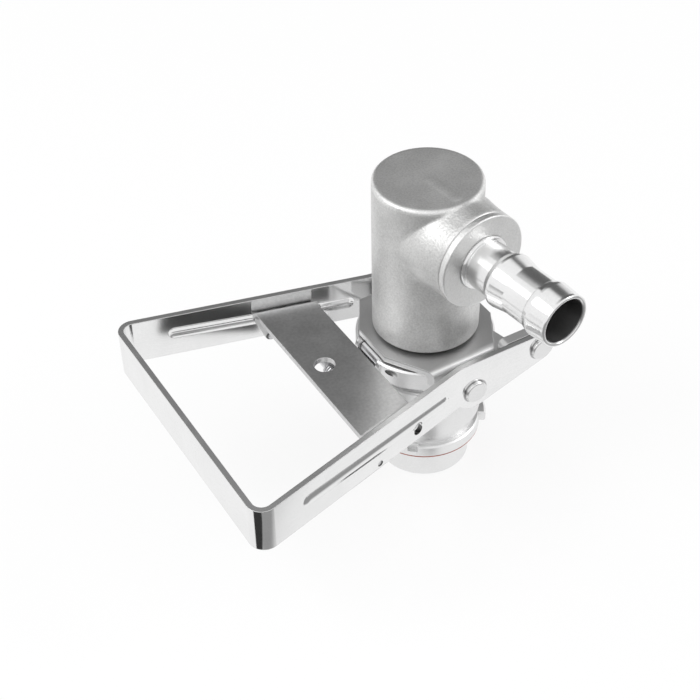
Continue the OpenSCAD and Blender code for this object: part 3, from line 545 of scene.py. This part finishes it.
# %% [markdown]
# ## Yoke and latch plates
# Both are cut from rolled sheet, so their marks run one way. The yoke's flat top
# is painted darker than its bent flanges, a painted shade for how the light falls
# on it, and is a little rougher; a zone by height keeps the two apart.
# Round the latch plate's pivot there is a dark gap that lies in shade. Bright
# metal throws light out of such a gap, and a black ring could be laid into it,
# but a small zone of painted shade that lowers the tone there needs no new piece.

# %% Finish the two plates
REACH = (1, 0, 0)
ACROSS = (0, 1, 0)
YOKE_TOP = 0.0775
LATCH_PIVOT = (-0.0556, 0, 0.0609)

# The flat top's lower tone is painted shade; its added roughness is a duller finish.
dull_top_painted_shade = zone(along(UP), (YOKE_TOP - 0.0012, YOKE_TOP - 0.0002), tone=0.57, rough=0.09)
# Painted shade: a darker ring where the gap round the latch pivot lies in shade; it is also
# rougher.
pivot_gap_painted_shade = zone(around(ACROSS, LATCH_PIVOT), (0.0022, 0.0018), tone=0.25, rough=0.1)

YOKE_STEEL = make_steel(
    "satin yoke steel", (0.86, 0.86, 0.86), 0.38, marks=along(ACROSS), lines=5000.0,
    line_depth=0.000004, edge=0.0004, zones=(dull_top_painted_shade,))
LATCH_STEEL = make_steel(
    "rolled latch steel", (0.60, 0.60, 0.60), 0.30, marks=along(REACH), lines=6000.0,
    line_depth=0.000004, line_shade=0.08, grains=700.0, mottle=0.12, edge=0.0004,
    zones=(pivot_gap_painted_shade,))
print("plate finishes:", YOKE_STEEL.name, LATCH_STEEL.name)

# %% [markdown]
# ## Handle
# The handle is a polished strap. Its edges were only deburred, so they are
# duller than its faces. Pins sit in its holes and slots, and on the real handle
# the gap round each pin lies in shade. Polished walls throw light out of such a
# gap, so a ring-shaped zone lowers the tone of each wall: painted shade.

# %% Finish the handle
STRAP_TOP = 0.0810
DRIVE_PIN = (0.0014, 0, 0.0645)
FULCRUM_PIN = (0.0364, 0, 0.0735)
SLOT_TOP, SLOT_FOOT = (-0.0335, 0, 0.0670), (-0.0329, 0, 0.0639)
# Walls of the holes and slots round the pins, darkened as painted shade.
SHADED_HOLE_WALLS = (  # centre, radii where the ring is full and where it ends, tone
    (DRIVE_PIN, 0.0057, 0.0064, 0.5),
    (FULCRUM_PIN, 0.0057, 0.0064, 0.5),
    (SLOT_TOP, 0.0022, 0.0026, 0.12),
    (SLOT_FOOT, 0.0022, 0.0026, 0.12),
    (LATCH_PIVOT, 0.0013, 0.0016, 0.2),
)

dull_edge = zone(along(UP), (STRAP_TOP - 0.0003, STRAP_TOP - 0.0001), tone=0.9, rough=0.22)
# Each ring lowers the tone of a wall as painted shade, where the gap lies in shade.
painted_shade_holes = [zone(around(ACROSS, centre), (outer, inner), tone=tone, rough=0.1)
              for centre, inner, outer, tone in SHADED_HOLE_WALLS]
HANDLE_STEEL = make_steel(
    "polished strap steel", (0.82, 0.82, 0.82), 0.08, lines=2500.0, line_depth=0.000002,
    line_shade=0.05, edge=0.0003, spread=0.06, zones=(dull_edge, *painted_shade_holes))
print("handle finish:", HANDLE_STEEL.name, "dark holes:", len(painted_shade_holes))

# %% [markdown]
# ## Body, pins and small parts
# The body is turned round the probe's axis, and each pin round its own. One
# steel could serve them all, but then the rings on a pin's head would lie about
# the wrong axis. So each pair of pins has a finish whose marks are circles about
# its own axis. The small inner parts share one drawn steel.

# %% Finish the body, the pins and the small parts
BODY_STEEL = make_steel(
    "turned body steel", (0.80, 0.80, 0.80), 0.36, lines=7000.0, line_depth=0.000005)


def make_pin_steel(name, centre):
    """Steel turned about a pin's own axis."""
    return make_steel(name, (0.76, 0.76, 0.76), 0.22, marks=around(ACROSS, centre),
                      lines=6000.0, line_depth=0.000005, edge=0.0005)


DRIVE_STEEL = make_pin_steel("drive pin steel", DRIVE_PIN)
FULCRUM_STEEL = make_pin_steel("fulcrum pin steel", FULCRUM_PIN)
SMALL_STEEL = make_steel("drawn wire and rod steel", (0.66, 0.66, 0.67), 0.28)
print("body and pin finishes:", BODY_STEEL.name, DRIVE_STEEL.name, FULCRUM_STEEL.name)

# %% [markdown]
# ## Dressing the nodes
# Each CAD node is one piece of the real coupler and wears one finish. Materials
# could be put on by hand in the editor; a table by finish shows at a glance
# what is made of what, and the print says if a node was left bare.

# %% Dress each node
WEARS = (
    (HEAD_STEEL, ("head_casting",)),
    (FLANGE_STEEL, ("tail_flange",)),
    (TAIL_STEEL, ("hose_tail",)),
    (YOKE_STEEL, ("yoke_plate",)),
    (LATCH_STEEL, ("latch_plate",)),
    (HANDLE_STEEL, ("handle",)),
    (BODY_STEEL, ("coupler_body",)),
    (DRIVE_STEEL, ("drive_pins",)),
    (FULCRUM_STEEL, ("fulcrum_pins",)),
    (SMALL_STEEL, ("latch_pivot_pins", "latch_guide_pins", "latch_rod", "latch_spring",
                   "catch_pin", "catch_sleeve", "retaining_nut", "probe_tube",
                   "fulcrum_clips")),
    (RED_RUBBER, ("face_seal",)),
    (BLACK_RUBBER, ("guide_seal", "tail_gasket", "neck_ring", "piston_ring", "nose_seal")),
    (DARK_PLASTIC, ("guide_bush", "swivel_bush", "thrust_washer", "drive_spacers")),
)

dressed = set()
for finish, names in WEARS:
    for name in names:
        mesh = nodes[name].data
        mesh.materials.clear()
        mesh.materials.append(finish)
        dressed.add(name)
print("nodes dressed:", len(dressed), "left bare:", sorted(set(nodes) - dressed))

# %% [markdown]
# ## Face seal
# The seal is a soft ring under the bayonet flange. Under load it bulges, so its
# red-brown line shows below the flange. The CAD model holds a plain ring, whose
# mesh must not change, so a new ring stands for it. A Screw modifier could turn
# the profile; this loop shows how rows of points become the faces of a ring.

# %% Turn the seal ring
SEAL_PROFILE = (  # radius and height
    (0.0212, 0.01655), (0.0252, 0.01655), (0.0258, 0.01665), (0.0262, 0.0169),
    (0.0263, 0.0171), (0.0262, 0.0173), (0.0258, 0.01755), (0.0252, 0.01765),
    (0.0212, 0.01765),
)
SEAL_STEPS = 96


def revolve(name, profile, steps):
    """A closed ring: the profile turned about the Z axis."""
    count = len(profile)
    turns = [2 * math.pi * k / steps for k in range(steps)]
    verts = [(r * math.cos(turn), r * math.sin(turn), z) for turn in turns for r, z in profile]
    faces = []
    for k in range(steps):
        here, ahead = k * count, (k + 1) % steps * count
        for i in range(count):
            j = (i + 1) % count
            faces.append((here + i, ahead + i, ahead + j, here + j))
    mesh = bpy.data.meshes.new(name)
    mesh.from_pydata(verts, [], faces)
    for face in mesh.polygons:
        face.use_smooth = True
    ring = bpy.data.objects.new(name, mesh)
    bpy.context.scene.collection.objects.link(ring)
    return ring


seal_ring = revolve("seal_ring", SEAL_PROFILE, SEAL_STEPS)
seal_ring.data.materials.append(RED_RUBBER)
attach(seal_ring, "body")
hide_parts("face_seal")
print("seal ring across in mm:", round(seal_ring.dimensions.x * 1000, 1))

# %% [markdown]
# ## What the steel sees in the floor
# Polished steel has hardly any look of its own: it shows what stands round it.
# A photographer lays dark cards beside it to draw its dark panels. Real cards
# would show in the picture, so here they are places on the floor that only a
# reflection sees. In front of the part the floor also turns dark, as a table
# lit from behind does.

# %% Shade the floor for reflections
FRONT = Vector((-0.26, -0.966, 0))
FRONT_FROM, FRONT_FULL = 0.10, 0.15
FRONT_LEVEL = 0.30
DARK_CARDS = (  # from and to, along X and along Y
    ((-0.117, -0.064), (-0.0485, -0.0225)),
    ((-0.040, -0.012), (-0.064, -0.044)),
    ((-0.215, -0.158), (-0.128, -0.065)),
)
CARD_BLUR = 0.002


def inside(tree, value, low, high):
    """Near 1 while the value is between low and high, 0 outside."""
    return math_node(tree, "MULTIPLY",
                     ramp_node(tree, value, low - CARD_BLUR, low + CARD_BLUR),
                     ramp_node(tree, value, high + CARD_BLUR, high - CARD_BLUR))


def floor_in_steel(tree, position):
    """How bright the floor is in a reflection."""
    forward = vector_node(tree, "DOT_PRODUCT", position, FRONT)
    level = ramp_node(tree, forward, FRONT_FROM, FRONT_FULL, 1.0, FRONT_LEVEL)
    split = add(tree, "ShaderNodeSeparateXYZ")
    link(tree, position, split.inputs[0])
    for x_range, y_range in DARK_CARDS:
        card = math_node(tree, "MULTIPLY", inside(tree, split.outputs["X"], *x_range),
                         inside(tree, split.outputs["Y"], *y_range))
        level = math_node(tree, "MULTIPLY", level, ramp_node(tree, card, 0.0, 1.0, 1.0, 0.0))
    return level


print("dark cards:", len(DARK_CARDS))

# %% [markdown]
# ## Floor
# The floor is a pale matt sheet. Under soft light alone it would look grey in
# the picture, and more light would burn out the steel. So the camera sees it
# mixed with a plain white glow, thin enough to keep the part's shadow, and the
# steel sees the shading above.

# %% Lay the floor
FLOOR_LEVEL = -0.0002
FLOOR_WIDTH = 12
CAMERA_SHARE = 0.82  # how much of the glow the camera sees, over matt white
STEEL_SHARE = 0.96   # and how much a reflection sees


def make_floor():
    """The floor, a pale plane below the part."""
    bpy.ops.mesh.primitive_plane_add(size=FLOOR_WIDTH, location=(0, 0, FLOOR_LEVEL))
    sheet = bpy.context.object
    sheet.name = "floor"
    mat, tree, shader, position = new_material("pale floor", metallic=0.0)
    shader.inputs["Base Color"].default_value = (0.90, 0.90, 0.90, 1)
    shader.inputs["Roughness"].default_value = 0.9

    path = add(tree, "ShaderNodeLightPath")
    strength = add(tree, "ShaderNodeMix", data_type="FLOAT")
    link(tree, path.outputs["Is Glossy Ray"], strength.inputs["Factor"])
    strength.inputs["A"].default_value = 1.0
    link(tree, floor_in_steel(tree, position), strength.inputs["B"])
    glow = add(tree, "ShaderNodeEmission")
    link(tree, strength.outputs["Result"], glow.inputs["Strength"])

    to_camera = math_node(tree, "MULTIPLY", path.outputs["Is Camera Ray"], CAMERA_SHARE)
    to_steel = math_node(tree, "MULTIPLY", path.outputs["Is Glossy Ray"], STEEL_SHARE)
    mix = add(tree, "ShaderNodeMixShader")
    link(tree, math_node(tree, "MAXIMUM", to_camera, to_steel), mix.inputs[0])
    link(tree, shader.outputs[0], mix.inputs[1])
    link(tree, glow.outputs[0], mix.inputs[2])
    link(tree, mix.outputs[0], tree.nodes["Material Output"].inputs["Surface"])
    sheet.data.materials.append(mat)
    return sheet


floor = make_floor()
print("floor:", floor.name, "at", round(floor.location.z * 1000, 2), "mm")

# %% [markdown]
# ## Room
# The room is white, with one dark wall behind on the right that reaches up from
# the horizon. Flat faces and the top of the hose tail mirror it, which gives the
# steel its dark bands. A wall of geometry would cast shadows and stand in other
# views, so it is painted into the world: a direction counts as wall where it is
# far enough ahead, not too far beside and not too high.

# %% Paint the room
WALL_TO = Vector((0.5, 0.866, 0))
WALL_ACROSS = Vector((-0.866, 0.5, 0))
AHEAD_FROM, AHEAD_FULL = 0.15, 0.30
BESIDE_FROM, BESIDE_FULL = 0.46, 0.34
HIGH_FROM, HIGH_FULL = 0.90, 0.76
WALL_LEVEL = 0.13


def make_room():
    """A white world with a dark wall, which the camera sees as white."""
    world = bpy.data.worlds.new("studio")
    bpy.context.scene.world = world
    world.use_nodes = True
    tree = world.node_tree
    direction = add(tree, "ShaderNodeTexCoord").outputs["Generated"]
    to_wall = vector_node(tree, "DOT_PRODUCT", direction, WALL_TO)
    sideways = vector_node(tree, "DOT_PRODUCT", direction, WALL_ACROSS)
    height = vector_node(tree, "DOT_PRODUCT", direction, UP)
    ahead = ramp_node(tree, to_wall, AHEAD_FROM, AHEAD_FULL)
    beside = ramp_node(tree, math_node(tree, "ABSOLUTE", sideways), BESIDE_FROM, BESIDE_FULL)
    below = ramp_node(tree, height, HIGH_FROM, HIGH_FULL)
    wall = math_node(tree, "MULTIPLY", math_node(tree, "MULTIPLY", ahead, beside), below)

    path = add(tree, "ShaderNodeLightPath")
    level = add(tree, "ShaderNodeMix", data_type="FLOAT")
    link(tree, path.outputs["Is Camera Ray"], level.inputs["Factor"])
    link(tree, ramp_node(tree, wall, 0.0, 1.0, 1.0, WALL_LEVEL), level.inputs["A"])
    level.inputs["B"].default_value = 1.0
    back = tree.nodes["Background"]
    link(tree, level.outputs["Result"], back.inputs["Strength"])
    back.inputs["Color"].default_value = (1, 1, 1, 1)
    return world


room = make_room()
print("room:", room.name)

# %% [markdown]
# ## Lamps
# Two lamps give the edges a little sparkle and the floor a faint shadow. Small
# lamps would burn spots into polished steel, so these are large and soft. They
# stay weak, so that pale steel does not clip to white.

# %% Hang the lamps
LAMPS = (  # name, place, aim, width and height, watts
    ("lamp left", (-0.9, 0.2, 1.0), (0, 0, 0.08), (0.6, 0.6), 4.0),
    ("lamp right", (0.9, -0.6, 0.7), (0, 0, 0.1), (0.4, 0.6), 2.5),
)


def make_lamp(name, at, aim, size, power):
    """A rectangular lamp that faces its aim."""
    data = bpy.data.lights.new(name, "AREA")
    data.shape = "RECTANGLE"
    data.size, data.size_y = size
    data.energy = power
    lamp = bpy.data.objects.new(name, data)
    bpy.context.scene.collection.objects.link(lamp)
    lamp.location = at
    lamp.rotation_mode = "QUATERNION"
    lamp.rotation_quaternion = (Vector(aim) - Vector(at)).to_track_quat("-Z", "Y")
    return lamp


lamps = [make_lamp(*row) for row in LAMPS]
bpy.context.scene.view_settings.view_transform = "Standard"
print("lamps:", [lamp.name for lamp in lamps])
